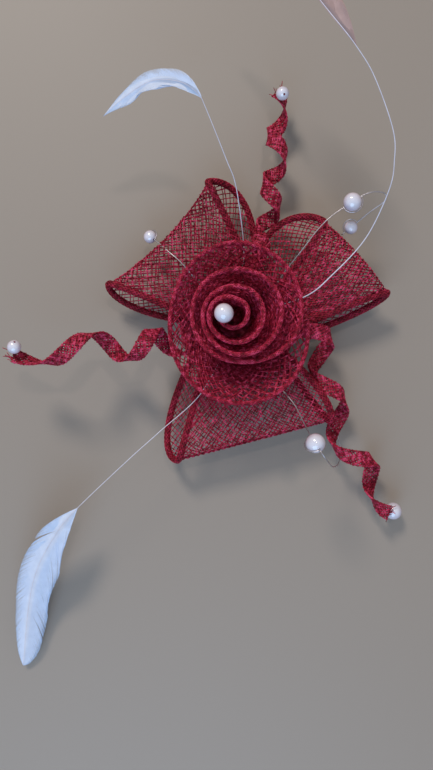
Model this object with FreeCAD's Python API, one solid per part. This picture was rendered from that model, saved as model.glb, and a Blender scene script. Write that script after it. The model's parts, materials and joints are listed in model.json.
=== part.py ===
"""Fascinator headpiece: a sinamay rose with three looped leaves, three curls, pearl sprays and
stripped feathers, sewn to a small base that a sprung hair clip holds to the head.

Millimetres, +Z out of the flower, +Y towards the top of the flower.  The origin lies on the clip's
flat underside, on the axis of the rose.
"""
import FreeCAD, Part
import math
import os

Vector = FreeCAD.Vector
os.makedirs("parts", exist_ok=True)

# ---- driving dimensions -------------------------------------------------------------------------
CLIP_WIDTH = 8.0
CLIP_NOSE_Y = 24.0
CLIP_TAIL_Y = -24.0
CLIP_METAL = 0.8
CLIP_HEIGHT = 5.8
CLIP_EAR = 0.6
CLIP_EAR_RADIUS = 1.9
PIVOT_Y = -6.0
PIVOT_Z = 2.9
PIN_RADIUS = 0.8
PIN_CLEARANCE = 0.05
PIN_HEAD_RADIUS = 1.3
PIN_HEAD_THICKNESS = 0.4
EAR_CLEARANCE = 0.2
TOOTH_COUNT = 4
TOOTH_PITCH = 1.3
TOOTH_ROOT_RADIUS = 0.6
TOOTH_TIP_RADIUS = 0.25
TOOTH_FROM_NOSE = 1.4
TOOTH_CLEARANCE = 0.15
CLIP_CORNER_FLAT = 0.5
SPRING_WIRE = 0.5
SPRING_COIL_RADIUS = 1.35
SPRING_PITCH = 0.6
SPRING_TURNS = 4.5
SPRING_LEG = 10.0
SPRING_CLEARANCE = 0.02
SPRING_LEG_LEAD = 0.1

FELT_RADIUS = 25.0
FELT_THICKNESS = 1.5
BASE_RADIUS = 25.0
BASE_THICKNESS = 2.0
BINDING_RADIUS = 1.0
BASE_TOP = CLIP_HEIGHT + FELT_THICKNESS + BASE_THICKNESS

SHEET = 0.8
HEM_RADIUS = 1.4
# hem lines run from this angle of the loop to the same short of a full turn, in degrees
HEM_FIRST_ANGLE = 25
HEM_STEP = 15
HEM_ROLL_STEP = 24
# greatest value of the bow's own curve, so that a bow is the real sideways reach
BOW_PEAK = 0.77
ROSE_WALL = 1.0
ROSE_FLOOR_Z = 14.0
ROSE_RIM_INNER_Z = 43.0
ROSE_RIM_DROP = 13.0
ROSE_FOOT_RATIO = 0.5
ROSE_STEPS_PER_QUARTER = 4
# centre of the tight heart and of the outer petal
ROSE_HEART = (-3.0, 4.0)
ROSE_OUTER = (0.0, -1.0)
# rim radius at each quarter turn, from the tight heart to the open outer petal
ROSE_RIM_RADII = (6.5, 8, 5.6, 4.9, 10.5, 13, 11.6, 11.1, 13.9, 16.6,
                  18.5, 19.9, 19.5, 18.6, 26.2, 32.9, 29.6, 35.6, 29.8)

CURL_WIDTH = 6.8
CURL_THICKNESS = 0.7
CURL_STEPS_PER_TURN = 10
# how far each curl closes in at its free end, and how late it does so
CURL_CLOSING = 0.6
CURL_CLOSING_POWER = 8
# share of a curl over which its direction is taken
CURL_REACH = 0.004

LARGE_PEARL = 8.0
SMALL_PEARL = 6.0
PEARL_BORE = 1.0
SPRAY_WIRE = 0.5
PEARL_STEM = 0.8
# the centre pearl is half-drilled: how far its bore and its stem run past the pearl's middle
HALF_BORE = 1.2
STEM_END = 1.0
THREAD = 0.5
QUILL = 1.1
VANE_THICKNESS = 0.5
VANE_STEPS = 10

# ---- leaves: each side of the looped strip, as roots, fold point and how far each layer bows out --
LEAVES = {
    "upper_left": (
        dict(front=(7.5, 22, 13.5), back=(7.5, 22, 12), fold=(-14.3, 63.4, 20),
             front_bow=(0, 0, 4), back_bow=(10.8, 5.6, -8)),
        dict(front=(-17, 1, 13.5), back=(-17, 1, 12), fold=(-59.4, 18.4, 15),
             front_bow=(0.2, 0.5, 5), back_bow=(-2, -4.7, -5)),
    ),
    "upper_right": (
        dict(front=(17, 14, 12.5), back=(5, 22, 10.6), fold=(38.7, 45.5, 20),
             front_bow=(0.8, -0.6, 4), back_bow=(-9, 8, -5)),
        dict(front=(20, -5, 12.5), back=(18, -8, 10.8), fold=(68.4, 14.3, 15),
             front_bow=(0, 1, 4), back_bow=(0, -3, -4)),
    ),
    "lower": (
        dict(front=(-15.3, -19.2, 12.5), back=(-19.5, -11.7, 10.8), fold=(-27.2, -62.4, 16),
             front_bow=(0, 0, 5), back_bow=(-7.9, -1, -6)),
        dict(front=(21, -13, 12.5), back=(19, -15, 10.8), fold=(41.3, -44.5, 16),
             front_bow=(3.1, 2, 5), back_bow=(0, 0, -2)),
    ),
}

# ---- centre lines, root first --------------------------------------------------------------------
CURLS = {
    "upper": dict(axis=((5, 28, 14.5), (11.1, 38.4, 13), (13.8, 49, 14), (15, 58.6, 16),
                        (16.5, 69.2, 17), (17.6, 80.9, 15), (18.3, 93.2, 12), (18.9, 108.1, 10)),
                  turns=3.4, slack=0.0, phase=306, radius=4.4),
    "left": dict(axis=((-20, -7, 17), (-35.9, -9.6, 25), (-51.4, -11, 29), (-66.9, -12.2, 31),
                       (-82.4, -13.1, 32), (-98.1, -13.8, 33)),
                 turns=4.3, slack=1.8, phase=61, radius=6.3),
    "lower_right": dict(axis=((27, 4, 20), (33.9, -2.7, 18), (38.6, -16.2, 13), (41.4, -29.2, 13),
                              (46.2, -46.5, 13), (53.9, -60.9, 13), (62.9, -72.7, 11),
                              (70, -87.1, 10.5)),
                        turns=3.5, slack=0.0, phase=270, radius=6.3),
}
QUILLS = {
    "upper_left": ((2, 16, 12.5), (2.3, 24, 15), (2, 35.5, 24), (-1.8, 55, 40), (-6, 64, 47),
                   (-14, 80, 57), (-17, 84.5, 60), (-24, 88.3, 62), (-35, 89.2, 61),
                   (-46.5, 85, 56), (-55.5, 80.5, 50)),
    "right": ((12, 7, 14), (29.1, 11, 27), (39.7, 19.3, 32), (53, 34, 38), (59.5, 50.5, 50),
              (60, 60.5, 56), (58, 70.5, 61), (49.5, 87.5, 67), (42, 97.5, 70), (34, 107, 71),
              (21, 124.5, 68), (7.5, 139, 61)),
    "lower_left": ((-7, -14, 13), (-18, -33, 20), (-35, -48.5, 26), (-50, -62, 28),
                   (-73, -84, 27), (-82.5, -96, 24), (-92, -112.5, 17), (-98, -132, 9.5),
                   (-102.5, -162, 3)),
}
# vane: first centre-line point that carries barbs, and the widths either side of the quill
VANES = {
    "upper_left": dict(first=5, left=5.0, right=3.5),
    "right": dict(first=8, left=1.0, right=8.0),
    "lower_left": dict(first=4, left=8.5, right=6.0),
}
SPRAY_WIRES = {
    "upper": ((13, 11, 14.5), (20, 22, 20), (28, 32, 24.5), (34, 39.7, 27), (40, 45.6, 28.8),
              (49.2, 51.7, 30), (53.5, 54.3, 30.7), (58, 55.8, 31), (62.9, 55.6, 30),
              (64.3, 53.6, 28.5), (62.9, 52, 27), (57.7, 48.6, 24), (50.7, 43.1, 20),
              (46.8, 40.2, 18.2)),
    "left": ((-11, 10, 14.5), (-18, 18, 19.5), (-25.6, 26.6, 22), (-31, 31.5, 21),
             (-36, 36.3, 18), (-40.6, 40.3, 14), (-42.7, 42, 12)),
    "lower": ((6, -14, 14.5), (15.5, -26, 23), (23.3, -35.8, 31), (26.4, -43, 38), (28.3, -48.1, 45),
              (29.9, -51.5, 50), (31.3, -54.4, 54.3), (34, -58, 53), (37.5, -61.5, 44),
              (41.5, -63.5, 30), (46, -64, 15), (49, -60, 6), (48, -53, 4.5), (46, -47, 5),
              (40, -41, 6), (30, -30, 7.5), (24, -24, 9.5)),
}
# pearls on the sprays: wire name, index of the wire point at the pearl's centre, diameter
SPRAY_PEARLS = {
    "upper_large": ("upper", 5, LARGE_PEARL),
    "upper_small": ("upper", 12, SMALL_PEARL),
    "left": ("left", 5, SMALL_PEARL),
    "lower": ("lower", 5, LARGE_PEARL),
}
CURL_PEARLS = {
    "upper": ((20.1, 104.8, 17.5), SMALL_PEARL),
    "left": ((-96.8, -11.7, 34), SMALL_PEARL),
    "lower_right": ((73.4, -87.5, 7), LARGE_PEARL),
}
CENTRE_PEARL = (-7, 1.1, 49)
CENTRE_STEM_FOOT = (-3, 3, BASE_TOP + 0.1)


def save(name, *solids):
    """Write one node; several solids make a group of separate pieces."""
    shape = solids[0] if len(solids) == 1 else Part.makeCompound(list(solids))
    if not shape.isValid():
        print("not valid:", name)
    shape.exportStep("parts/" + name + ".step")


def rounded_path(points):
    """Straight runs joined by tangent arcs, each as large as its two runs allow."""
    points = [Vector(*p) for p in points]
    edges = []
    start = points[0]
    for before, corner, after in zip(points, points[1:], points[2:]):
        back = before - corner
        ahead = after - corner
        half_turn = (math.pi - back.getAngle(ahead)) / 2
        trim = 0.45 * min(back.Length, ahead.Length)
        entry = corner + back.normalize() * trim
        leave = corner + ahead.normalize() * trim
        radius = trim / math.tan(half_turn)
        towards = (back + ahead).normalize()
        middle = corner + towards * (radius / math.cos(half_turn) - radius)
        edges.append(Part.LineSegment(start, entry).toShape())
        edges.append(Part.Arc(entry, middle, leave).toShape())
        start = leave
    edges.append(Part.LineSegment(start, points[-1]).toShape())
    return Part.Wire(edges)


def tube(points, diameter):
    """A round bar of constant diameter along the rounded path."""
    path = rounded_path(points)
    first = path.Edges[0]
    direction = first.tangentAt(first.FirstParameter)
    section = Part.Wire([Part.makeCircle(diameter / 2, Vector(*points[0]), direction)])
    bar = path.makePipeShell([section], True, False)
    return bar


def spline(points):
    """A smooth edge through the points, with evenly numbered parameters so that rails match."""
    curve = Part.BSplineCurve()
    steps = [float(i) for i in range(len(points))]
    curve.interpolate(Points=[Vector(*p) for p in points], Parameters=steps)
    return curve.toShape()


def strip(rails):
    """A closed solid between four rails that run side by side, each a list of points."""
    edges = [spline(rail) for rail in rails]
    faces = []
    for edge, neighbour in zip(edges, edges[1:] + edges[:1]):
        faces.append(Part.makeRuledSurface(edge, neighbour, 1))
    for end in (0, -1):
        corners = [Vector(*rail[end]) for rail in rails]
        near = Part.makeLine(corners[0], corners[1])
        far = Part.makeLine(corners[3], corners[2])
        faces.append(Part.makeRuledSurface(near, far, 1))
    skin = Part.makeShell(faces)
    skin.sewShape()
    solid = Part.makeSolid(Part.Shell(skin.Faces))
    if solid.Volume < 0:
        solid.reverse()
    return solid


# ---- leaves --------------------------------------------------------------------------------------
def hem_point(side, angle, inset):
    """A point of the looped hem: out along the front layer, over the fold, back along the back."""
    is_front = angle < math.pi
    root = Vector(*side["front" if is_front else "back"])
    bow = Vector(*side["front_bow" if is_front else "back_bow"])
    fold = Vector(*side["fold"])
    reach = math.sin(angle / 2) ** 2
    swell = abs(math.sin(angle)) * math.sin(angle / 2) / BOW_PEAK
    along = fold - root
    fold_inset = along * (inset / along.Length)
    thin = bow * (inset / bow.Length)
    point = root + (along - fold_inset) * reach + (bow - thin) * swell
    return (point.x, point.y, point.z)


def hem_line(side, inset=0.0, step=HEM_STEP):
    angles = range(HEM_FIRST_ANGLE, 361 - HEM_FIRST_ANGLE, step)
    return [hem_point(side, math.radians(a), inset) for a in angles]


def make_leaves():
    for name, (near, far) in LEAVES.items():
        rails = [hem_line(near), hem_line(far), hem_line(far, SHEET), hem_line(near, SHEET)]
        save("leaf_" + name, strip(rails))
        hems = [tube(hem_line(side, step=HEM_ROLL_STEP), 2 * HEM_RADIUS) for side in (near, far)]
        save("hem_roll_" + name, *hems)


# ---- rose ----------------------------------------------------------------------------------------
def catmull(values, position):
    """Smooth interpolation of a list of values at a fractional index."""
    last = len(values) - 1
    i = min(int(position), last - 1)
    t = position - i
    a = values[max(i - 1, 0)]
    b = values[i]
    c = values[i + 1]
    d = values[min(i + 2, last)]
    return b + 0.5 * t * (c - a + t * (2 * a - 5 * b + 4 * c - d + t * (3 * (b - c) + d - a)))


def rose_point(quarter, height, offset):
    """A point of the spiral wall: height 0 at its foot, 1 at its rim."""
    done = quarter / (len(ROSE_RIM_RADII) - 1)
    angle = math.pi + quarter * math.pi / 2
    centre_x = ROSE_HEART[0] + (ROSE_OUTER[0] - ROSE_HEART[0]) * done
    centre_y = ROSE_HEART[1] + (ROSE_OUTER[1] - ROSE_HEART[1]) * done
    rim = catmull(ROSE_RIM_RADII, quarter)
    radius = rim * (ROSE_FOOT_RATIO + (1 - ROSE_FOOT_RATIO) * height) + offset
    rim_z = ROSE_RIM_INNER_Z - ROSE_RIM_DROP * done ** 3
    z = ROSE_FLOOR_Z + (rim_z - ROSE_FLOOR_Z) * height
    return (centre_x + radius * math.cos(angle), centre_y + radius * math.sin(angle), z)


def make_rose():
    steps = ROSE_STEPS_PER_QUARTER * (len(ROSE_RIM_RADII) - 1)
    half = ROSE_WALL / 2
    rails = []
    for height, offset in ((0, half), (1, half), (1, -half), (0, -half)):
        rails.append([rose_point(i / ROSE_STEPS_PER_QUARTER, height, offset) for i in range(steps + 1)])
    save("rose_strip", strip(rails))


# ---- curls ---------------------------------------------------------------------------------------
def axis_at(axis, fraction):
    """Point and direction of a smooth axis line at a fraction of its length."""
    position = fraction * (len(axis) - 1)
    step = 0.01
    here = Vector(*[catmull([p[k] for p in axis], position) for k in range(3)])
    ahead = min(position + step, len(axis) - 1)
    behind = max(position - step, 0)
    there = Vector(*[catmull([p[k] for p in axis], ahead) for k in range(3)])
    back = Vector(*[catmull([p[k] for p in axis], behind) for k in range(3)])
    return here, (there - back).normalize()


def curl_frame(curl, fraction):
    """Centre of the ribbon on its helix, and the outward direction there."""
    centre, along = axis_at(curl["axis"], fraction)
    side = along.cross(Vector(0, 0, 1)).normalize()
    up = side.cross(along).normalize()
    turned = curl["turns"] * fraction - curl["slack"] * fraction ** 2
    angle = math.radians(curl["phase"] + 360 * turned)
    outward = side * math.cos(angle) + up * math.sin(angle)
    radius = curl["radius"] * (1 - CURL_CLOSING * fraction ** CURL_CLOSING_POWER)
    return centre + outward * radius, outward


def make_curls():
    for name, curl in CURLS.items():
        steps = int(curl["turns"] * CURL_STEPS_PER_TURN)
        rails = [[], [], [], []]
        for i in range(steps + 1):
            fraction = i / steps
            centre, outward = curl_frame(curl, fraction)
            ahead, _ = curl_frame(curl, min(fraction + CURL_REACH, 1))
            behind, _ = curl_frame(curl, max(fraction - CURL_REACH, 0))
            across = (ahead - behind).normalize().cross(outward).normalize()
            edge = across * (CURL_WIDTH / 2)
            skin = outward * (CURL_THICKNESS / 2)
            corners = (centre + edge + skin, centre - edge + skin,
                       centre - edge - skin, centre + edge - skin)
            for rail, corner in zip(rails, corners):
                rail.append((corner.x, corner.y, corner.z))
        save("curl_" + name, strip(rails))


# ---- pearls and wires ----------------------------------------------------------------------------
def pearl(centre, diameter, bore_direction, past_middle):
    """A round pearl bored along a direction, to a given distance past its middle."""
    centre = Vector(*centre)
    direction = Vector(*bore_direction).normalize()
    ball = Part.makeSphere(diameter / 2, centre, direction)
    start = centre - direction * diameter
    hole = Part.makeCylinder(PEARL_BORE / 2, diameter + past_middle, start, direction)
    return ball.cut(hole)


def locking_loop(centre, diameter, direction):
    """A half loop of wire round the outside of a pearl, from one end of its bore to the other."""
    centre = Vector(*centre)
    direction = Vector(*direction).normalize()
    side = direction.cross(Vector(0, 0, 1)).normalize()
    reach = diameter / 2 + SPRAY_WIRE
    path = Part.Wire([Part.Arc(centre - direction * reach, centre + side * reach,
                               centre + direction * reach).toShape()])
    section = Part.Wire([Part.makeCircle(SPRAY_WIRE / 2, centre - direction * reach, side)])
    return path.makePipeShell([section], True, False)


def make_sprays():
    wires = {name: tube(route, SPRAY_WIRE) for name, route in SPRAY_WIRES.items()}
    for name, (wire, index, diameter) in SPRAY_PEARLS.items():
        route = SPRAY_WIRES[wire]
        direction = Vector(*route[index + 1]) - Vector(*route[index - 1])
        save("pearl_spray_" + name, pearl(route[index], diameter, direction, diameter))
        wires[wire] = wires[wire].fuse(locking_loop(route[index], diameter, direction))
    for name, wire in wires.items():
        save("spray_wire_" + name, wire)


def make_curl_pearls():
    threads = []
    for name, (centre, diameter) in CURL_PEARLS.items():
        tip, _ = curl_frame(CURLS[name], 1)
        direction = Vector(*centre) - tip
        save("pearl_curl_" + name, pearl(centre, diameter, direction, diameter))
        start = tip + direction * 0.1
        length = direction.Length * 0.9 + diameter / 2
        threads.append(Part.makeCylinder(THREAD / 2, length, start, direction))
    save("pearl_threads", *threads)


def make_centre_pearl():
    foot = Vector(*CENTRE_STEM_FOOT)
    direction = Vector(*CENTRE_PEARL) - foot
    save("pearl_centre", pearl(CENTRE_PEARL, LARGE_PEARL, direction, HALF_BORE))
    length = direction.Length + STEM_END
    save("pearl_centre_stem", Part.makeCylinder(PEARL_STEM / 2, length, foot, direction))


# ---- feathers ------------------------------------------------------------------------------------
def vane_fullness(fraction):
    """Share of the vane's full width: opens quickly at its root, tapers slowly to its tip."""
    return (1.1 - math.exp(-fraction / 0.12)) * (1 - 0.7 * fraction ** 2)


def make_feathers():
    for name, route in QUILLS.items():
        save("feather_quill_" + name, tube(route, QUILL))
        vane = VANES[name]
        rachis = route[vane["first"]:]
        rails = [[], [], [], []]
        for i in range(VANE_STEPS + 1):
            fraction = i / VANE_STEPS
            here, along = axis_at(rachis, fraction)
            side = along.cross(Vector(0, 0, 1)).normalize()
            fullness = vane_fullness(fraction)
            right = side * vane["right"] * fullness
            left = side * vane["left"] * fullness
            lift = Vector(0, 0, VANE_THICKNESS / 2)
            corners = (here + right + lift, here - left + lift, here - left - lift, here + right - lift)
            for rail, corner in zip(rails, corners):
                rail.append((corner.x, corner.y, corner.z))
        save("feather_vane_" + name, strip(rails))


# ---- base and clip -------------------------------------------------------------------------------
def make_base():
    felt = Part.makeCylinder(FELT_RADIUS, FELT_THICKNESS, Vector(0, 0, CLIP_HEIGHT))
    save("felt_backing", felt)
    base_z = CLIP_HEIGHT + FELT_THICKNESS
    save("base_disc", Part.makeCylinder(BASE_RADIUS, BASE_THICKNESS, Vector(0, 0, base_z)))
    ring_z = base_z + BASE_THICKNESS / 2
    ring = Part.makeTorus(BASE_RADIUS + BINDING_RADIUS, BINDING_RADIUS, Vector(0, 0, ring_z))
    save("base_binding", ring)


def ear(x, plate_z):
    """A lug from an arm's plate to the pivot, rounded about the pivot."""
    low = min(plate_z, PIVOT_Z)
    high = max(plate_z, PIVOT_Z)
    r = CLIP_EAR_RADIUS
    web = Part.makeBox(CLIP_EAR, 2 * r, high - low, Vector(x, PIVOT_Y - r, low))
    round_end = Part.makeCylinder(r, CLIP_EAR, Vector(x, PIVOT_Y, PIVOT_Z), Vector(1, 0, 0))
    return web.fuse(round_end)


def arm(plate_z, ear_x, bore_radius):
    """A clip arm: a flat plate with two pivot ears that reach towards the other arm."""
    length = CLIP_NOSE_Y - CLIP_TAIL_Y
    corner = Vector(-CLIP_WIDTH / 2, CLIP_TAIL_Y, plate_z)
    plate = Part.makeBox(CLIP_WIDTH, length, CLIP_METAL, corner)
    upright = [e for e in plate.Edges if abs(e.tangentAt(e.FirstParameter).z) > 0.9]
    plate = plate.makeFillet(CLIP_WIDTH / 2 - CLIP_CORNER_FLAT, upright)
    for x in (ear_x, -ear_x - CLIP_EAR):
        plate = plate.fuse(ear(x, plate_z + CLIP_METAL / 2))
    bore = Part.makeCylinder(bore_radius, 2 * CLIP_WIDTH, Vector(-CLIP_WIDTH, PIVOT_Y, PIVOT_Z),
                             Vector(1, 0, 0))
    return plate.cut(bore).removeSplitter()


def make_clip():
    upper_z = CLIP_HEIGHT - CLIP_METAL
    outer_ear_x = CLIP_WIDTH / 2 - CLIP_EAR
    inner_ear_x = outer_ear_x - CLIP_EAR - EAR_CLEARANCE
    save("clip_upper_arm", arm(upper_z, outer_ear_x, PIN_RADIUS))
    lower = arm(0, inner_ear_x, PIN_RADIUS + PIN_CLEARANCE)
    root_z = CLIP_METAL / 2
    tooth_height = upper_z - TOOTH_CLEARANCE - root_z
    for i in range(TOOTH_COUNT):
        x = (i - (TOOTH_COUNT - 1) / 2) * TOOTH_PITCH
        root = Vector(x, CLIP_NOSE_Y - TOOTH_FROM_NOSE, root_z)
        tooth = Part.makeCone(TOOTH_ROOT_RADIUS, TOOTH_TIP_RADIUS, tooth_height, root)
        lower = lower.fuse(tooth)
    save("clip_lower_arm", lower.removeSplitter())

    pin_length = CLIP_WIDTH + 2 * PIN_HEAD_THICKNESS
    start = Vector(-pin_length / 2, PIVOT_Y, PIVOT_Z)
    pin = Part.makeCylinder(PIN_RADIUS, pin_length, start, Vector(1, 0, 0))
    for x in (-pin_length / 2, CLIP_WIDTH / 2):
        place = Vector(x, PIVOT_Y, PIVOT_Z)
        head = Part.makeCylinder(PIN_HEAD_RADIUS, PIN_HEAD_THICKNESS, place, Vector(1, 0, 0))
        pin = pin.fuse(head)
    save("clip_pin", pin.removeSplitter())

    save("clip_spring", torsion_spring(upper_z))


def torsion_spring(upper_z):
    """A coil round the pin whose two legs push the tails of the arms apart."""
    coil_length = SPRING_TURNS * SPRING_PITCH
    helix = Part.makeHelix(SPRING_PITCH, coil_length, SPRING_COIL_RADIUS)
    start = Vector(SPRING_COIL_RADIUS, 0, 0)
    section = Part.Wire([Part.makeCircle(SPRING_WIRE / 2, start, Vector(0, 1, 0))])
    spring = helix.makePipeShell([section], True, True)
    spring.rotate(Vector(0, 0, 0), Vector(0, 1, 0), 90)
    spring.translate(Vector(-coil_length / 2, PIVOT_Y, PIVOT_Z))
    rest = SPRING_WIRE / 2 + SPRING_CLEARANCE
    for x, z, end_z in ((-coil_length / 2, PIVOT_Z - SPRING_COIL_RADIUS, CLIP_METAL + rest),
                        (coil_length / 2, PIVOT_Z + SPRING_COIL_RADIUS, upper_z - rest)):
        begin = Vector(x, PIVOT_Y + SPRING_LEG_LEAD, z)
        leg = Vector(x, PIVOT_Y - SPRING_LEG, end_z) - begin
        spring = spring.fuse(Part.makeCylinder(SPRING_WIRE / 2, leg.Length, begin, leg))
    return spring


make_base()
make_clip()
make_leaves()
make_rose()
make_curls()
make_sprays()
make_curl_pearls()
make_centre_pearl()
make_feathers()
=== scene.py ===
"""Sinamay fascinator: woven leaves, rose and curls made thread by thread, with pearls, wires and
feathers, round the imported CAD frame.  Shapes are worked out in millimetres and stored in metres.
"""
import math

import bpy
import numpy as np
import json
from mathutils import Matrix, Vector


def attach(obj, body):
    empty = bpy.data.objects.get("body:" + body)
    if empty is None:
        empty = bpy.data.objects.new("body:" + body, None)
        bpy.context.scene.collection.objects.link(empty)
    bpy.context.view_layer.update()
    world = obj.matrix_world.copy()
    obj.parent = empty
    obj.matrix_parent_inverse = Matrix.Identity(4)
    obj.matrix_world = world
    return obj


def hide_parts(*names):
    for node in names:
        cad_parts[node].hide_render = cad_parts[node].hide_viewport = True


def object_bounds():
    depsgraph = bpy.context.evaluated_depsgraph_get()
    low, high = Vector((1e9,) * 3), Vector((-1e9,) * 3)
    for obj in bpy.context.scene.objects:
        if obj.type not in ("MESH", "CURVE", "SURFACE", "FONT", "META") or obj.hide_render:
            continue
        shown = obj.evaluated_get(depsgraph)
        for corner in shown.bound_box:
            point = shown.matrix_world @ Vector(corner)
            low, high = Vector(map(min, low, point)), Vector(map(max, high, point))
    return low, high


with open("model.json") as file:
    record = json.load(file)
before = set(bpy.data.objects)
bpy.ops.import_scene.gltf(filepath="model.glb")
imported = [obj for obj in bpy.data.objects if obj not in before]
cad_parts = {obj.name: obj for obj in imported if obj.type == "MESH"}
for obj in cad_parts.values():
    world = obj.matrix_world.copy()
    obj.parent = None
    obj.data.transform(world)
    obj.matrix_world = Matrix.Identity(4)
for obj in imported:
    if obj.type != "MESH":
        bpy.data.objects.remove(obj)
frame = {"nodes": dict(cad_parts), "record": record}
cad_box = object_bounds()

MM = 0.001
UP = np.array([0.0, 0.0, 1.0])
rng = np.random.default_rng(7)

# ---- sizes, in millimetres ------------------------------------------------------------------------
LEAF_WIDTH = 69.0
LEAF_FIRST_ANGLE = 22.0
LEAF_THREAD = (0.135, 0.29)
HEM_RADIUS = 1.35
# how gently a hem passes from its front root to its back root at the fold, in radians
FOLD_SOFTNESS = 0.16
# greatest value of the bow's own curve, so that a bow is the real sideways reach
BOW_PEAK = 0.77
PLEATS_ACROSS = 4.5
PLEAT_DEPTH = 1.3
RIPPLE_DEPTH = 0.35
ROSE_FLOOR_Z = 14.0
ROSE_RIM_INNER_Z = 43.0
ROSE_RIM_DROP = 13.0
ROSE_WALL_HEIGHT = 30.0
# centre of the tight heart and of the outer petal
ROSE_HEART = (-3.0, 4.0)
ROSE_OUTER = (0.0, -1.0)
# foot radius as a share of the rim radius, at the heart and at the outer petal
ROSE_FOOT_HEART = 0.8
ROSE_FOOT_OUTER = 0.5
# how much more the outer petal flares near its rim than the heart does
ROSE_FLARE = 0.9
ROSE_LAYER_OFFSET = 0.35
ROSE_PITCHES = (2.4, 2.6)
ROSE_THREAD = (0.115, 0.24)
ROSE_RIM_ROLL = 0.8
ROSE_RIM_STRANDS = 5
# how far the rim wanders from its spiral, sideways and up
ROSE_WOBBLE = 0.35
ROSE_WAVE = 0.6
# rim radius at each quarter turn, from the tight heart to the open outer petal
ROSE_RIM_RADII = (6.5, 8, 5.6, 4.9, 10.5, 13, 11.6, 11.1, 13.9, 16.6,
                  18.5, 19.9, 19.5, 18.6, 26.2, 32.9, 29.6, 35.6, 29.8)
CURL_WIDTH = 6.8
CURL_LAYER_OFFSET = 0.28
CURL_PITCHES = (1.15, 1.3)
CURL_THREAD = (0.33, 0.13)
CURL_WEAVE_ANGLE = 35.0
CURL_STEP = 0.8
CURL_LOOSE_ENDS = 9
# how far each curl closes in at its free end, and how late it does so
CURL_CLOSING = 0.6
CURL_CLOSING_POWER = 8
# share of a curl over which its direction is taken
CURL_REACH = 0.004
WIRE_RADIUS = 0.25
SHORTEST_THREAD = 1.6
# unevenness of the weave, as shares of its pitch: where threads lie, and how they wander
THREAD_JITTER = 0.10
THREAD_WANDER = 0.10
THREAD_SPREAD = (0.75, 1.2)
# a rolled edge's solid core, as a share of the roll's radius, and its flat outer strands
CORE_SHARE = 0.88
STRAND_HEIGHT = 0.2
BARB_SPACING = 0.17
BARB_LEAN = math.radians(38)
BARB_POINTS = 6
BARB_BEND = 0.12
BARB_THICK = 0.16
BARB_THIN = 0.05
# how often a new clump of barbs starts, and how much clumps and barbs differ in lean, in radians
CLUMP_CHANCE = 0.03
CLUMP_LEAN = 0.02
BARB_JITTER = 0.006
LARGE_PEARL = 8.0
SMALL_PEARL = 6.0

# leaf: near side and far side, each with its roots, fold and bows, then belly and thread pitches
LEAVES = {
    "upper_left": (
        dict(front=(7.5, 22, 13.5), back=(7.5, 22, 12), fold=(-14.3, 63.4, 20),
             front_bow=(0, 0, 4), back_bow=(10.8, 5.6, -8)),
        dict(front=(-17, 1, 13.5), back=(-17, 1, 12), fold=(-59.4, 18.4, 15),
             front_bow=(0.2, 0.5, 5), back_bow=(-2, -4.7, -5)),
        (3.0, -3.0, 0.0), (1.65, 2.15),
    ),
    "upper_right": (
        dict(front=(17, 14, 12.5), back=(5, 22, 10.6), fold=(38.7, 45.5, 20),
             front_bow=(0.8, -0.6, 4), back_bow=(-9, 8, -5)),
        dict(front=(20, -5, 12.5), back=(18, -8, 10.8), fold=(68.4, 14.3, 15),
             front_bow=(0, 1, 4), back_bow=(0, -3, -4)),
        (0.0, 0.0, 6.0), (1.9, 2.3),
    ),
    "lower": (
        dict(front=(-15.3, -19.2, 12.5), back=(-19.5, -11.7, 10.8), fold=(-27.2, -62.4, 16),
             front_bow=(0, 0, 5), back_bow=(-7.9, -1, -6)),
        dict(front=(21, -13, 12.5), back=(19, -15, 10.8), fold=(41.3, -44.5, 16),
             front_bow=(3.1, 2, 5), back_bow=(0, 0, -2)),
        (0.0, 0.0, 2.0), (1.65, 1.65),
    ),
}
# curl: the line it winds round, from its root, then its turns, how many turns it loses towards its
# free end, its starting angle in degrees and its radius
CURLS = {
    "upper": dict(axis=((5, 28, 14.5), (11.1, 38.4, 13), (13.8, 49, 14), (15, 58.6, 16),
                        (16.5, 69.2, 17), (17.6, 80.9, 15), (18.3, 93.2, 12), (18.9, 108.1, 10)),
                  turns=3.2, slack=-0.25, phase=306, radius=4.4),
    "left": dict(axis=((-20, -7, 17), (-35.9, -9.6, 25), (-51.4, -11, 29), (-66.9, -12.2, 31),
                       (-82.4, -13.1, 32), (-98.1, -13.8, 33)),
                 turns=4.3, slack=1.8, phase=61, radius=6.3),
    "lower_right": dict(axis=((27, 4, 20), (33.9, -2.7, 18), (38.6, -16.2, 13), (41.4, -29.2, 13),
                              (46.2, -46.5, 13), (53.9, -60.9, 13), (62.9, -72.7, 11),
                              (70, -87.1, 10.5)),
                        turns=3.5, slack=0.0, phase=270, radius=6.3),
}
QUILLS = {
    "upper_left": ((2, 16, 12.5), (2.3, 24, 15), (2, 35.5, 24), (-1.8, 55, 40), (-6, 64, 47),
                   (-14, 80, 57), (-17, 84.5, 60), (-24, 88.3, 62), (-35, 89.2, 61),
                   (-46.5, 85, 56), (-55.5, 80.5, 50)),
    "right": ((12, 7, 14), (29.1, 11, 27), (39.7, 19.3, 32), (53, 34, 38), (59.5, 50.5, 50),
              (60, 60.5, 56), (58, 70.5, 61), (49.5, 87.5, 67), (42, 97.5, 70), (34, 107, 71),
              (21, 124.5, 68), (7.5, 139, 61)),
    "lower_left": ((-7, -14, 13), (-18, -33, 20), (-35, -48.5, 26), (-50, -62, 28),
                   (-73, -84, 27), (-82.5, -96, 24), (-92, -112.5, 17), (-98, -132, 9.5),
                   (-102.5, -162, 3)),
}
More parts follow.
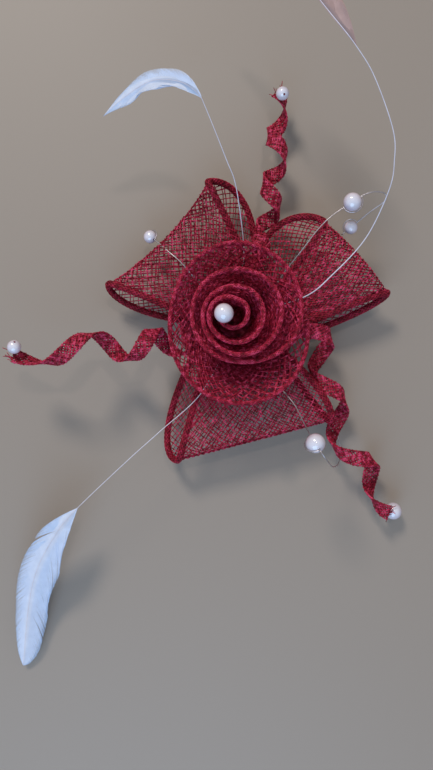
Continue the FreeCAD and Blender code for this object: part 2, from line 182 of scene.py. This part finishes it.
# vane: centre-line point where the barbs start, widths either side, how late it closes towards
# its tip, and shaft radius
VANES = {
    "upper_left": dict(first=5.6, left=6.6, right=4.6, tip=3.5, shaft=0.24),
    "right": dict(first=8.0, left=0.6, right=10.0, tip=14.0, shaft=0.27),
    "lower_left": dict(first=3.9, left=14.5, right=9.0, tip=12.0, shaft=0.2),
}
SPRAY_WIRES = {
    "upper": ((13, 11, 14.5), (20, 22, 20), (28, 32, 24.5), (34, 39.7, 27), (40, 45.6, 28.8),
              (49.2, 51.7, 30), (53.5, 54.3, 30.7), (58, 55.8, 31), (62.9, 55.6, 30),
              (64.3, 53.6, 28.5), (62.9, 52, 27), (57.7, 48.6, 24), (50.7, 43.1, 20),
              (46.8, 40.2, 18.2)),
    "left": ((-11, 10, 14.5), (-18, 18, 19.5), (-25.6, 26.6, 22), (-31, 31.5, 21),
             (-36, 36.3, 18), (-40.6, 40.3, 14), (-42.7, 42, 12)),
    "lower": ((6, -14, 14.5), (15.5, -26, 23), (23.3, -35.8, 31), (26.4, -43, 38), (28.3, -48.1, 45),
              (29.9, -51.5, 50), (31.3, -54.4, 54.3), (34, -58, 53), (37.5, -61.5, 44),
              (41.5, -63.5, 30), (46, -64, 15), (49, -60, 6), (48, -53, 4.5), (46, -47, 5),
              (40, -41, 6), (30, -30, 7.5), (24, -24, 9.5)),
}
# pearl on a spray wire: the wire, which of its points, and the pearl's diameter
SPRAY_PEARLS = (("upper", 5, LARGE_PEARL), ("upper", 12, SMALL_PEARL), ("left", 5, SMALL_PEARL),
                ("lower", 5, LARGE_PEARL))


# ---- camera, floor and light ----------------------------------------------------------------------
CAMERA_HEIGHT = 300.0
CAMERA_PLACE = (-10.0, -28.0)
CAMERA_LENS = 29.0
# floor: half its side and how far it lies under the object, in metres
FLOOR_REACH = 3.0
FLOOR_GAP = 0.0002
# lights: where each shines from, its distance and size in metres, its power in watts
LIGHTS = (
    dict(name="key", direction=(-0.31, 0.66, 0.72), distance=1.6, size=0.38, power=12.8,
         colour=(1.0, 0.93, 0.85), glint=2.6),
    dict(name="fill", direction=(-0.2, -1.0, 0.8), distance=1.0, size=0.9, power=5.4,
         colour=(0.42, 0.68, 1.0), glint=0.6),
    dict(name="lamp", direction=(0.1, 0.35, 1.0), distance=1.5, size=0.10, power=1.6,
         colour=(1.0, 0.86, 0.80), glint=2.5),
)
ROOM_COLOUR = (0.93, 0.95, 1.0)
ROOM_STRENGTH = 0.36


def make_camera():
    data = bpy.data.cameras.new("camera")
    data.lens = CAMERA_LENS
    data.sensor_width = 36.0
    data.clip_start = 0.01
    camera = bpy.data.objects.new("camera", data)
    bpy.context.scene.collection.objects.link(camera)
    camera.location = (CAMERA_PLACE[0] * MM, CAMERA_PLACE[1] * MM, CAMERA_HEIGHT * MM)
    bpy.context.scene.camera = camera


def make_area_light(name, direction, distance, size, power, colour, glint):
    data = bpy.data.lights.new(name, "AREA")
    data.specular_factor = glint
    data.shape = "DISK"
    data.size = size
    data.energy = power
    data.color = colour
    light = bpy.data.objects.new(name, data)
    bpy.context.scene.collection.objects.link(light)
    place = np.array(direction, float)
    place = place / np.linalg.norm(place) * distance
    light.location = place
    aim = -place / distance
    yaw = math.atan2(aim[1], aim[0])
    pitch = math.acos(-aim[2])
    light.rotation_euler = (pitch, 0.0, yaw - math.pi / 2)


def make_stage(material):
    z = cad_box[0][2] - FLOOR_GAP
    verts = [(-FLOOR_REACH, -FLOOR_REACH, z), (FLOOR_REACH, -FLOOR_REACH, z),
             (FLOOR_REACH, FLOOR_REACH, z), (-FLOOR_REACH, FLOOR_REACH, z)]
    mesh = bpy.data.meshes.new("floor")
    mesh.from_pydata(verts, [], [(0, 1, 2, 3)])
    floor = bpy.data.objects.new("floor", mesh)
    floor.data.materials.append(material)
    bpy.context.scene.collection.objects.link(floor)


def make_light():
    for light in LIGHTS:
        make_area_light(**light)
    world = bpy.data.worlds.new("world")
    world.use_nodes = True
    background = world.node_tree.nodes["Background"]
    background.inputs["Color"].default_value = (*ROOM_COLOUR, 1.0)
    background.inputs["Strength"].default_value = ROOM_STRENGTH
    bpy.context.scene.world = world
    bpy.context.scene.view_settings.view_transform = "Standard"


# ---- materials ------------------------------------------------------------------------------------
class Nodes:
    """A material with a Principled shader and short calls to add nodes."""

    def __init__(self, name, roughness=0.5, metallic=0.0):
        self.material = bpy.data.materials.new(name)
        self.material.use_nodes = True
        self.tree = self.material.node_tree
        self.shader = self.tree.nodes["Principled BSDF"]
        self.shader.inputs["Roughness"].default_value = roughness
        self.shader.inputs["Metallic"].default_value = metallic

    def add(self, kind, **settings):
        node = self.tree.nodes.new(kind)
        for key, value in settings.items():
            setattr(node, key, value)
        return node

    def link(self, source, target):
        self.tree.links.new(source, target)

    def noise(self, scale, detail=3.0, stretch=(1, 1, 1)):
        place = self.add("ShaderNodeTexCoord")
        mapping = self.add("ShaderNodeMapping")
        mapping.inputs["Scale"].default_value = stretch
        noise = self.add("ShaderNodeTexNoise")
        noise.inputs["Scale"].default_value = scale
        noise.inputs["Detail"].default_value = detail
        self.link(place.outputs["Object"], mapping.inputs["Vector"])
        self.link(mapping.outputs["Vector"], noise.inputs["Vector"])
        return noise.outputs["Fac"]

    def ramp(self, source, stops):
        ramp = self.add("ShaderNodeValToRGB")
        elements = ramp.color_ramp.elements
        while len(elements) < len(stops):
            elements.new(0.5)
        for element, (position, colour) in zip(elements, stops):
            element.position = position
            element.color = (*colour, 1.0)
        self.link(source, ramp.inputs["Fac"])
        return ramp.outputs["Color"]

    def bump(self, source, strength, distance):
        bump = self.add("ShaderNodeBump")
        bump.inputs["Strength"].default_value = strength
        bump.inputs["Distance"].default_value = distance
        self.link(source, bump.inputs["Height"])
        self.link(bump.outputs["Normal"], self.shader.inputs["Normal"])

    def colour(self, source):
        self.link(source, self.shader.inputs["Base Color"])

    def set(self, name, value):
        self.shader.inputs[name].default_value = value
        return self


def sinamay_material(name, dark, mid, light, sheen):
    """Dyed abaca fibre: uneven dye along the threads, fine fibre bump and a soft sheen."""
    m = Nodes(name, roughness=0.5)
    m.colour(m.ramp(m.noise(560.0, 3.0), ((0.34, dark), (0.5, mid), (0.66, light))))
    m.bump(m.noise(2600.0, 2.0), 0.35, 0.0001)
    m.set("Sheen Weight", sheen).set("Sheen Roughness", 0.4)
    m.set("Sheen Tint", (1.0, 0.55, 0.7, 1.0)).set("Specular IOR Level", 0.22)
    return m.material


def pearl_material():
    """Pearl lacquer: cool white body under a clear coat, with painted shade that darkens it towards
    the rim, where it also turns pinkish.
    """
    m = Nodes("pearl_lacquer", roughness=0.3)
    # painted shade: the body colour darkens by facing angle towards the rim and turns pinkish there
    edge = m.add("ShaderNodeLayerWeight")
    edge.inputs["Blend"].default_value = 0.45
    body = m.ramp(edge.outputs["Facing"], ((0.0, (0.80, 0.80, 0.90)), (0.5, (0.70, 0.64, 0.75)),
                                           (1.0, (0.54, 0.38, 0.40))))
    cloud = m.ramp(m.noise(300.0, 2.0), ((0.3, (0.88, 0.88, 0.9)), (0.7, (1.0, 1.0, 1.0))))
    mix = m.add("ShaderNodeMix", data_type="RGBA", blend_type="MULTIPLY")
    mix.inputs["Factor"].default_value = 1.0
    m.link(body, mix.inputs["A"])
    m.link(cloud, mix.inputs["B"])
    m.colour(mix.outputs["Result"])
    m.set("Coat Weight", 1.0).set("Coat Roughness", 0.06).set("Coat IOR", 1.8)
    return m.material


def metal_material(name, colour, roughness):
    m = Nodes(name, roughness=roughness, metallic=1.0)
    darker = tuple(0.7 * c for c in colour)
    m.colour(m.ramp(m.noise(500.0, 3.0), ((0.3, darker), (0.7, colour))))
    m.bump(m.noise(900.0, 3.0, (8, 1, 8)), 0.1, 0.00003)
    return m.material


def feather_material(name, dark, light, roughness):
    m = Nodes(name, roughness=roughness)
    m.colour(m.ramp(m.noise(260.0, 3.0), ((0.3, dark), (0.7, light))))
    m.bump(m.noise(3000.0, 2.0), 0.2, 0.0001)
    m.set("Specular IOR Level", 0.3)
    m.set("Sheen Weight", 0.1).set("Sheen Roughness", 0.5)
    return m.material


def felt_material():
    m = Nodes("wool_felt", roughness=0.95)
    m.colour(m.ramp(m.noise(700.0, 6.0), ((0.35, (0.09, 0.008, 0.02)), (0.65, (0.2, 0.02, 0.045)))))
    m.bump(m.noise(2200.0, 6.0), 0.8, 0.0004)
    m.set("Sheen Weight", 0.5).set("Specular IOR Level", 0.2)
    return m.material


def floor_material():
    m = Nodes("pale_floor", roughness=0.55)
    tone = m.ramp(m.noise(0.9, 1.0), ((0.35, (0.300, 0.258, 0.222)), (0.65, (0.315, 0.270, 0.232))))
    m.colour(tone)
    return m.material


SINAMAY = sinamay_material("sinamay", (0.13, 0.003, 0.014), (0.35, 0.007, 0.032),
                           (0.66, 0.065, 0.160), 0.03)
ROLL = sinamay_material("sinamay_roll", (0.13, 0.003, 0.012), (0.30, 0.007, 0.026),
                        (0.46, 0.025, 0.075), 0.03)
RIM = sinamay_material("sinamay_rim", (0.15, 0.003, 0.014), (0.38, 0.008, 0.036),
                       (0.68, 0.060, 0.150), 0.03)
# painted shade: the inside of each rolled edge is the same sinamay, coloured much darker so the gaps
# between its strands look shaded
CORE_PAINTED_SHADE = sinamay_material("sinamay_inside_painted_shade", (0.07, 0.002, 0.008), (0.13, 0.003, 0.013),
                        (0.20, 0.006, 0.022), 0.0)
PEARL = pearl_material()
WIRE = metal_material("silver_wire", (0.60, 0.56, 0.60), 0.42)
STEEL = metal_material("nickel_steel", (0.6, 0.59, 0.57), 0.3)
BARB = feather_material("feather_barbs", (0.58, 0.67, 0.86), (0.65, 0.74, 0.93), 0.6)
# painted warm shade: the right feather is white like the others, and its barbs are a darker, pinker
# copy
BARB_PAINTED_WARM_SHADE = feather_material("barbs_painted_warm_shade", (0.38, 0.27, 0.265), (0.45, 0.32, 0.31), 0.55)
SHAFT = feather_material("feather_shaft", (0.60, 0.59, 0.70), (0.74, 0.73, 0.84), 0.4)
FELT = felt_material()


# ---- mesh building --------------------------------------------------------------------------------
class Pile:
    """Collects many small closed tubes into one mesh."""

    def __init__(self):
        self.points = []
        self.quads = []
        self.caps = []
        self.count = 0

    def tube(self, line, normal, half_width, half_height, sides=6):
        """A closed bar along line; its section is half_width across and half_height along normal."""
        line = np.asarray(line, float)
        n = len(line)
        tangent = np.gradient(line, axis=0)
        tangent /= np.linalg.norm(tangent, axis=1)[:, None] + 1e-12
        side = np.cross(tangent, normal)
        side /= np.linalg.norm(side, axis=1)[:, None] + 1e-12
        up = np.cross(side, tangent)
        around = np.arange(sides) * 2 * math.pi / sides + math.pi / sides
        half_width = np.broadcast_to(np.asarray(half_width, float), (n,))
        half_height = np.broadcast_to(np.asarray(half_height, float), (n,))
        ring = (line[:, None, :]
                + side[:, None, :] * (np.cos(around)[None, :, None] * half_width[:, None, None])
                + up[:, None, :] * (np.sin(around)[None, :, None] * half_height[:, None, None]))
        self.points.append(ring.reshape(-1, 3))
        start = self.count + np.arange(n - 1)[:, None] * sides
        a = start + np.arange(sides)[None, :]
        b = start + (np.arange(sides)[None, :] + 1) % sides
        self.quads.append(np.stack([a, b, b + sides, a + sides], -1).reshape(-1, 4))
        first = list(range(self.count + sides - 1, self.count - 1, -1))
        last = list(range(self.count + (n - 1) * sides, self.count + n * sides))
        self.caps += [first, last]
        self.count += n * sides

    def build(self, name, material):
        points = np.concatenate(self.points) * MM
        quads = np.concatenate(self.quads)
        mesh = bpy.data.meshes.new(name)
        mesh.from_pydata(points.tolist(), [], quads.tolist() + self.caps)
        mesh.polygons.foreach_set("use_smooth", [True] * len(mesh.polygons))
        mesh.materials.append(material)
        mesh.update()
        piece = bpy.data.objects.new(name, mesh)
        bpy.context.scene.collection.objects.link(piece)
        return piece


def catmull(values, position):
    """Smooth interpolation of listed values (numbers or points) at fractional indices."""
    values = np.asarray(values, float)
    position = np.asarray(position, float)
    last = len(values) - 1
    i = np.clip(position.astype(int), 0, last - 1)
    t = position - i
    a = values[np.clip(i - 1, 0, last)]
    b = values[i]
    c = values[i + 1]
    d = values[np.clip(i + 2, 0, last)]
    if values.ndim == 2:
        t = t[..., None]
    return b + 0.5 * t * (c - a + t * (2 * a - 5 * b + 4 * c - d + t * (3 * (b - c) + d - a)))


def even_line(points, step, first=0.0):
    """Points at even spacing along the smooth line through the listed points."""
    fine = catmull(points, np.linspace(first, len(points) - 1, 40 * len(points)))
    lengths = np.concatenate([[0], np.cumsum(np.linalg.norm(np.diff(fine, axis=0), axis=1))])
    count = max(int(lengths[-1] / step), 4)
    marks = np.linspace(0, lengths[-1], count)
    return np.stack([np.interp(marks, lengths, fine[:, k]) for k in range(3)], axis=1)


def normals_of(surface, x, y, reach=0.2):
    """Unit normals of a surface given in flat millimetre coordinates."""
    across = surface(x + reach, y) - surface(x - reach, y)
    along = surface(x, y + reach) - surface(x, y - reach)
    normal = np.cross(across, along)
    return normal / (np.linalg.norm(normal, axis=1)[:, None] + 1e-12)


def weave(pile, surface, width, length, pitches, thread, angle=45.0, step=1.1, offset=0.0,
          fray=0.0, sides=6):
    """Two crossing families of threads on a surface, each passing over and under the other."""
    half_width, half_height = thread
    directions = [math.radians(angle), math.radians(angle - 90.0)]
    heads = [np.array([math.cos(a), math.sin(a)]) for a in directions]
    for family in (0, 1):
        along = heads[family]
        across = np.array([-along[1], along[0]])
        other = heads[1 - family]
        other_across = np.array([-other[1], other[0]])
        corners = np.array([[0, 0], [width, 0], [0, length], [width, length]]) @ across
        pitch = pitches[family]
        first = int(math.floor(corners.min() / pitch))
        last = int(math.ceil(corners.max() / pitch))
        for i in range(first, last + 1):
            centre = (i + 0.5 + rng.normal(0, THREAD_JITTER)) * pitch * across
            low, high = clip_line(centre, along, width, length)
            if high - low < SHORTEST_THREAD:
                continue
            low -= fray * rng.random()
            high += fray * rng.random()
            t = np.linspace(low, high, max(int((high - low) / step), 2) + 1)
            wander = THREAD_WANDER * pitch * np.sin(t / rng.uniform(5, 11) + rng.uniform(0, 6))
            flat = centre + t[:, None] * along + wander[:, None] * across
            x = np.clip(flat[:, 0], -fray, width + fray)
            y = np.clip(flat[:, 1], -fray, length + fray)
            crossing = (flat @ other_across) / pitches[1 - family] - 0.5
            wave = np.cos(math.pi * (crossing + i)) * (1 if family == 0 else -1)
            normal = normals_of(surface, x, y)
            line = surface(x, y) + normal * (offset + half_height * 0.9 * wave)[:, None]
            spread = rng.uniform(*THREAD_SPREAD) * (1 + 0.15 * np.sin(t / 2.1 + rng.uniform(0, 6)))
            pile.tube(line, normal, half_width * pitch * spread, half_height, sides)


def clip_line(centre, along, width, length):
    """Where a line enters and leaves the flat strip."""
    low, high = -1e9, 1e9
    for k, limit in ((0, width), (1, length)):
        if abs(along[k]) < 1e-9:
            continue
        a = (0 - centre[k]) / along[k]
        b = (limit - centre[k]) / along[k]
        low = max(low, min(a, b))
        high = min(high, max(a, b))
    return low, high


def line_frames(line):
    """Two unit directions across a line that turn with it as little as possible."""
    tangent = np.gradient(line, axis=0)
    tangent /= np.linalg.norm(tangent, axis=1)[:, None]
    first = np.cross(tangent[0], UP if abs(tangent[0][2]) < 0.9 else np.array([1.0, 0, 0]))
    sides = [first / np.linalg.norm(first)]
    for t in tangent[1:]:
        s = sides[-1] - t * np.dot(sides[-1], t)
        sides.append(s / np.linalg.norm(s))
    sides = np.array(sides)
    return tangent, sides, np.cross(tangent, sides)


def rope(pile, core, line, radius, strands=6, thread=0.2, slope=0.75):
    """A rolled edge: a core bar wrapped by crossing threads of the same weave."""
    tangent, side, up = line_frames(line)
    core.tube(line, up, radius * CORE_SHARE, radius * CORE_SHARE, 10)
    run = np.concatenate([[0], np.cumsum(np.linalg.norm(np.diff(line, axis=0), axis=1))])
    for direction in (1, -1):
        for strand in range(strands):
            start = 2 * math.pi * (strand + rng.normal(0, 0.08)) / strands
            angle = start + direction * run * slope / radius
            out = side * np.cos(angle)[:, None] + up * np.sin(angle)[:, None]
            lift = radius * (1 + 0.04 * direction * np.cos(strands * angle))
            width = thread * rng.uniform(0.8, 1.15)
            pile.tube(line + out * lift[:, None], out, width, STRAND_HEIGHT)


def finish_piece(piece, slot_name, *replaced):
    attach(piece, "headpiece")
    if replaced:
        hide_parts(*replaced)
    return piece


# ---- leaves ---------------------------------------------------------------------------------------
def hem_curve(side, turn):
    """The looped edge of a leaf: turn 0 is the front root, pi the fold, 2 pi the back root."""
    front_share = 0.5 + 0.5 * np.tanh((math.pi - turn) / FOLD_SOFTNESS)
    front_share = front_share[:, None]
    root = front_share * np.array(side["front"]) + (1 - front_share) * np.array(side["back"])
    bow = front_share * np.array(side["front_bow"]) + (1 - front_share) * np.array(side["back_bow"])
    reach = (np.sin(turn / 2) ** 2)[:, None]
    rounded = np.sqrt(np.sin(turn) ** 2 + FOLD_SOFTNESS ** 2 * reach[:, 0] ** 4)
    swell = rounded * np.sin(turn / 2) / BOW_PEAK
    return root + (np.array(side["fold"]) - root) * reach + bow * swell[:, None]


class LeafSurface:
    """The strip of a leaf in flat coordinates: x across between its hems, y round the loop."""

    def __init__(self, near, far, belly):
        self.near = near
        self.far = far
        self.belly = np.array(belly, float)
        first = math.radians(LEAF_FIRST_ANGLE)
        turns = np.linspace(first, 2 * math.pi - first, 400)
        middle = 0.5 * (hem_curve(near, turns) + hem_curve(far, turns))
        steps = np.linalg.norm(np.diff(middle, axis=0), axis=1)
        self.lengths = np.concatenate([[0], np.cumsum(steps)])
        self.turns = turns
        self.length = self.lengths[-1]

    def __call__(self, x, y):
        turn = np.interp(y, self.lengths, self.turns)
        extra = np.clip(y - self.length, 0, None) - np.clip(-y, 0, None)
        turn = turn + extra / 100.0
        share = (x / LEAF_WIDTH)[:, None]
        a = hem_curve(self.near, turn)
        b = hem_curve(self.far, turn)
        reach = np.sin(turn / 2) ** 2
        arch = 4 * share * (1 - share) * reach[:, None]
        front = np.where(turn < math.pi, 1.0, 0.4)[:, None]
        pleat = (1 - reach) ** 2 * PLEAT_DEPTH * np.sin(share[:, 0] * 2 * math.pi * PLEATS_ACROSS)
        ripple = RIPPLE_DEPTH * np.sin(share[:, 0] * 7 + y * 0.13) * np.sin(y * 0.09 + 1)
        point = a * (1 - share) + b * share + self.belly * arch * (0.6 + 0.4 * front)
        point[:, 2] += pleat + ripple
        return point


def make_leaf(name, near, far, belly, pitches):
    surface = LeafSurface(near, far, belly)
    cloth = Pile()
    weave(cloth, surface, LEAF_WIDTH, surface.length, pitches, LEAF_THREAD)
    leaf = finish_piece(cloth.build("leaf_%s_weave" % name, SINAMAY), "sinamay", "leaf_" + name)

    strands = Pile()
    core = Pile()
    first = math.radians(LEAF_FIRST_ANGLE)
    turns = np.linspace(first, 2 * math.pi - first, 240)
    for side in (near, far):
        line = hem_curve(side, turns)
        rope(strands, core, line, HEM_RADIUS)
    roll = finish_piece(strands.build("hem_%s_threads" % name, ROLL), "sinamay_roll",
                        "hem_roll_" + name)
    inner = finish_piece(core.build("hem_%s_core" % name, CORE_PAINTED_SHADE), "sinamay_roll")


# ---- rose -----------------------------------------------------------------------------------------
class RoseSurface:
    """The spiral wall in flat coordinates: x along the rim, y from its foot to its rim."""

    def __init__(self, offset):
        self.offset = offset
        quarters = np.linspace(0, len(ROSE_RIM_RADII) - 1, 1200)
        middle = self.at(quarters, np.full(len(quarters), 0.6))
        self.lengths = np.concatenate([[0], np.cumsum(np.linalg.norm(np.diff(middle, axis=0),
                                                                     axis=1))])
        self.quarters = quarters
        self.length = self.lengths[-1]
        self.height = ROSE_WALL_HEIGHT

    def at(self, quarter, height):
        done = quarter / (len(ROSE_RIM_RADII) - 1)
        angle = math.pi + quarter * math.pi / 2
        rim = catmull(ROSE_RIM_RADII, np.clip(quarter, 0, len(ROSE_RIM_RADII) - 1.001))
        rim = rim + ROSE_WOBBLE * np.sin(3.3 * angle + 1) * done
        foot = ROSE_FOOT_HEART + (ROSE_FOOT_OUTER - ROSE_FOOT_HEART) * done
        rise = np.clip(height, 0, 1.2)
        flare = rise ** (1 + ROSE_FLARE * done)
        radius = rim * (foot + (1 - foot) * flare) + self.offset
        rim_z = ROSE_RIM_INNER_Z - ROSE_RIM_DROP * done ** 3 + ROSE_WAVE * np.sin(2.3 * angle)
        z = ROSE_FLOOR_Z + (rim_z - ROSE_FLOOR_Z) * rise
        centre_x = ROSE_HEART[0] + (ROSE_OUTER[0] - ROSE_HEART[0]) * done
        centre_y = ROSE_HEART[1] + (ROSE_OUTER[1] - ROSE_HEART[1]) * done
        x = centre_x + radius * np.cos(angle)
        y = centre_y + radius * np.sin(angle)
        return np.stack([x, y, z], axis=-1)

    def __call__(self, x, y):
        return self.at(np.interp(x, self.lengths, self.quarters), y / self.height)


def make_rose():
    for name, offset in (("inside", -ROSE_LAYER_OFFSET), ("outside", ROSE_LAYER_OFFSET)):
        surface = RoseSurface(offset)
        cloth = Pile()
        weave(cloth, surface, surface.length, surface.height, ROSE_PITCHES, ROSE_THREAD,
              step=1.3, sides=5)
        finish_piece(cloth.build("rose_%s_weave" % name, SINAMAY), "sinamay")
    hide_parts("rose_strip")
    strands = Pile()
    core = Pile()
    wall = RoseSurface(0.0)
    quarters = np.linspace(0, len(ROSE_RIM_RADII) - 1, 900)
    rope(strands, core, wall.at(quarters, np.ones(len(quarters))), ROSE_RIM_ROLL, ROSE_RIM_STRANDS)
    finish_piece(strands.build("rose_rim_threads", RIM), "sinamay_roll")
    finish_piece(core.build("rose_rim_core", CORE_PAINTED_SHADE), "sinamay_roll")


# ---- curls ----------------------------------------------------------------------------------------
class CurlSurface:
    """A ribbon wound on a slack helix: x across the ribbon, y along it."""

    def __init__(self, curl, offset):
        self.curl = curl
        self.offset = offset
        fractions = np.linspace(0, 1, 600)
        centre, _ = self.helix(fractions)
        steps = np.linalg.norm(np.diff(centre, axis=0), axis=1)
        self.lengths = np.concatenate([[0], np.cumsum(steps)])
        self.fractions = fractions
        self.length = self.lengths[-1]

    def helix(self, fraction):
        axis = self.curl["axis"]
        last = len(axis) - 1
        position = np.clip(fraction, 0, 1) * last
        here = catmull(axis, np.clip(position, 0, last - 1e-6))
        ahead = catmull(axis, np.clip(position + 0.01, 0, last - 1e-6))
        behind = catmull(axis, np.clip(position - 0.01, 0, last - 1e-6))
        along = ahead - behind
        along /= np.linalg.norm(along, axis=1)[:, None]
        side = np.cross(along, UP)
        side /= np.linalg.norm(side, axis=1)[:, None]
        up = np.cross(side, along)
        turned = self.curl["turns"] * fraction - self.curl["slack"] * fraction ** 2
        angle = np.radians(self.curl["phase"] + 360 * turned)[:, None]
        out = side * np.cos(angle) + up * np.sin(angle)
        closing = 1 - CURL_CLOSING * fraction ** CURL_CLOSING_POWER
        return here + out * (self.curl["radius"] * closing)[:, None], out

    def __call__(self, x, y):
        fraction = np.interp(y, self.lengths, self.fractions)
        centre, out = self.helix(fraction)
        ahead, _ = self.helix(np.clip(fraction + CURL_REACH, 0, 1))
        behind, _ = self.helix(np.clip(fraction - CURL_REACH, 0, 1))
        across = np.cross(ahead - behind, out)
        across /= np.linalg.norm(across, axis=1)[:, None]
        return centre + across * (x - CURL_WIDTH / 2)[:, None] + out * self.offset


def fold_edges(cloth, folded):
    """The two long edges of the folded ribbon, each a pressed bar."""
    along = np.linspace(0, folded.length, int(folded.length / CURL_STEP))
    for edge in (0.1, CURL_WIDTH - 0.1):
        across = np.full(len(along), edge)
        cloth.tube(folded(across, along), normals_of(folded, across, along), 0.22, 0.38)


def loose_ends(cloth, folded):
    """Short threads that stand out of the ribbon's cut end."""
    middle = np.array([3.0])
    end = np.array([folded.length])
    for _ in range(CURL_LOOSE_ENDS):
        start = folded(rng.uniform(0.5, CURL_WIDTH - 0.5, 1), end)[0]
        spread = rng.normal(0, 0.5, 3)
        heading = spread + (folded(middle, end)[0] - folded(middle, end - 1.0)[0])
        loose = start + np.linspace(0, rng.uniform(1.0, 2.6), 5)[:, None] * heading
        cloth.tube(loose, UP, 0.16, 0.12, 5)


def make_curl(name, curl):
    cloth = Pile()
    for offset in (-CURL_LAYER_OFFSET, CURL_LAYER_OFFSET):
        surface = CurlSurface(curl, offset)
        weave(cloth, surface, CURL_WIDTH, surface.length, CURL_PITCHES, CURL_THREAD,
              step=CURL_STEP, fray=0.15, sides=5, angle=CURL_WEAVE_ANGLE)
    folded = CurlSurface(curl, 0.0)
    fold_edges(cloth, folded)
    loose_ends(cloth, folded)
    piece = finish_piece(cloth.build("curl_%s_weave" % name, SINAMAY), "sinamay", "curl_" + name)


# ---- wires, pearls, feathers ----------------------------------------------------------------------
def locking_loop(pile, centre, direction, diameter):
    """A half loop of wire round the outside of a pearl, from one end of its bore to the other."""
    direction = direction / np.linalg.norm(direction)
    side = np.cross(direction, UP)
    side /= np.linalg.norm(side)
    angle = np.linspace(0, math.pi, 24)[:, None]
    reach = diameter / 2 + 2 * WIRE_RADIUS
    line = centre + reach * (-direction * np.cos(angle) + side * np.sin(angle))
    pile.tube(line, np.cross(direction, side), WIRE_RADIUS, WIRE_RADIUS, 8)


def make_wire(name, route):
    pile = Pile()
    line = even_line(route, 0.8)
    _, _, up = line_frames(line)
    pile.tube(line, up, WIRE_RADIUS, WIRE_RADIUS, 8)
    for wire, index, diameter in SPRAY_PEARLS:
        if wire == name:
            direction = np.array(route[index + 1], float) - np.array(route[index - 1], float)
            locking_loop(pile, np.array(route[index], float), direction, diameter)
    finish_piece(pile.build("wire_%s" % name, WIRE), "silver_wire", "spray_wire_" + name)


def vane_fullness(fraction, tip):
    """Share of the vane's full width: opens quickly at its root, tapers slowly to its tip."""
    opening = 1.03 - math.exp(-fraction / 0.07)
    return opening * (1 - 0.7 * fraction ** 2) * (1 - 0.95 * fraction ** tip)


def make_shaft(name, route, vane):
    shaft = Pile()
    line = even_line(route, 1.0)
    _, _, up = line_frames(line)
    taper = np.linspace(vane["shaft"], 0.45 * vane["shaft"], len(line))
    shaft.tube(line, up, taper, taper, 10)
    finish_piece(shaft.build("quill_%s" % name, SHAFT), "quill", "feather_quill_" + name)


def make_vane(name, route, vane):
    """Barbs leaning off both sides of the shaft, in clumps that lean a little differently."""
    barbs = Pile()
    rachis = even_line(route, BARB_SPACING, vane["first"])
    count = len(rachis)
    tangent = np.gradient(rachis, axis=0)
    tangent /= np.linalg.norm(tangent, axis=1)[:, None]
    side = np.cross(tangent, UP)
    side /= np.linalg.norm(side, axis=1)[:, None]
    lift = np.cross(side, tangent)
    t = np.linspace(0, 1, BARB_POINTS)[:, None]
    thick = np.linspace(BARB_THICK, BARB_THIN, BARB_POINTS)
    clump = 0.0
    for sign, width in ((1, vane["right"]), (-1, vane["left"])):
        for i in range(count):
            fullness = vane_fullness(i / (count - 1), vane["tip"])
            if rng.random() < CLUMP_CHANCE:
                clump = rng.normal(0, CLUMP_LEAN)
            lean = BARB_LEAN + clump + rng.normal(0, BARB_JITTER)
            length = width * fullness / math.sin(lean) * rng.uniform(0.975, 1.015)
            bend = lean - BARB_BEND * t
            out = sign * side[i] * np.sin(bend) + tangent[i] * np.cos(bend)
            arc = 0.06 * length * np.sin(math.pi * t * 0.5)
            barb = rachis[i] + out * length * t - lift[i] * arc * 0.6
            barbs.tube(barb, np.broadcast_to(lift[i], (BARB_POINTS, 3)), thick, 0.03, 4)
    # the right feather takes the barbs with painted warm shade
    finish = BARB_PAINTED_WARM_SHADE if name == "right" else BARB
    finish_piece(barbs.build("vane_%s" % name, finish), "feather", "feather_vane_" + name)


def paint_frame():
    """Finishes for the CAD nodes that stay."""
    finishes = {"pearl": PEARL, "silver_wire": WIRE, "clip_steel": STEEL, "felt": FELT,
                "thread": ROLL, "sinamay": SINAMAY, "sinamay_roll": ROLL}
    for entry in frame["record"]["subparts"]:
        node = frame["nodes"][entry["node"]]
        finish = finishes.get(entry["material_slot"])
        if finish is None:
            continue
        for slot in node.material_slots:
            slot.material = finish
        node.data.polygons.foreach_set("use_smooth", [True] * len(node.data.polygons))


make_camera()
make_light()
make_stage(floor_material())
paint_frame()
for leaf_name, leaf in LEAVES.items():
    make_leaf(leaf_name, *leaf)
make_rose()
for curl_name, curl in CURLS.items():
    make_curl(curl_name, curl)
for wire_name, wire_route in SPRAY_WIRES.items():
    make_wire(wire_name, wire_route)
for feather_name, quill_route in QUILLS.items():
    make_shaft(feather_name, quill_route, VANES[feather_name])
    make_vane(feather_name, quill_route, VANES[feather_name])
